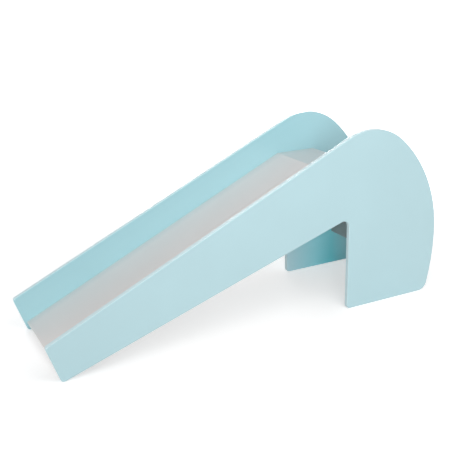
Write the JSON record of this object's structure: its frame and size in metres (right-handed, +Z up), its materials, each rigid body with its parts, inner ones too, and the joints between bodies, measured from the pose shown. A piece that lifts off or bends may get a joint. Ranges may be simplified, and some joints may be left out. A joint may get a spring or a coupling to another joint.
{
  "type": "toddler slide",
  "caption": "Free-standing indoor toddler slide with tall rounded side panels, a low guarded slide board, a seat platform and closed rear steps.",
  "frame": {"origin": "on the floor, under the middle of the slide's length and width", "axes": "+X from the exit towards the steps, +Y from the rider's left panel to the right panel, +Z up"},
  "size_m": [1.3762, 0.4, 0.6],
  "materials": {
    "panel_lacquer": "pale turquoise satin lacquer on fibreboard",
    "board_lacquer": "light grey satin lacquer on fibreboard",
    "beech_dowel": "bare fluted beech",
    "cam_bolt_steel": "zinc-plated steel",
    "cam_zinc": "die-cast zinc, matt"
  },
  "bodies": {
    "root": {"left_side_panel": "panel_lacquer", "right_side_panel": "panel_lacquer", "slide_board": "board_lacquer", "top_platform": "board_lacquer", "upper_step": "board_lacquer", "lower_step": "board_lacquer", "upper_riser": "board_lacquer", "lower_riser": "board_lacquer", "slide_board_dowels": "beech_dowel", "platform_dowels": "beech_dowel", "upper_step_dowels": "beech_dowel", "lower_step_dowels": "beech_dowel", "upper_riser_side_dowels": "beech_dowel", "lower_riser_side_dowels": "beech_dowel", "upper_riser_upright_dowels": "beech_dowel", "lower_riser_upright_dowels": "beech_dowel", "slide_board_cam_bolts": "cam_bolt_steel", "slide_board_cam_discs": "cam_zinc", "platform_cam_bolts": "cam_bolt_steel", "platform_cam_discs": "cam_zinc", "upper_step_cam_bolts": "cam_bolt_steel", "upper_step_cam_discs": "cam_zinc", "lower_step_cam_bolts": "cam_bolt_steel", "lower_step_cam_discs": "cam_zinc"}
  },
  "joints": []
}
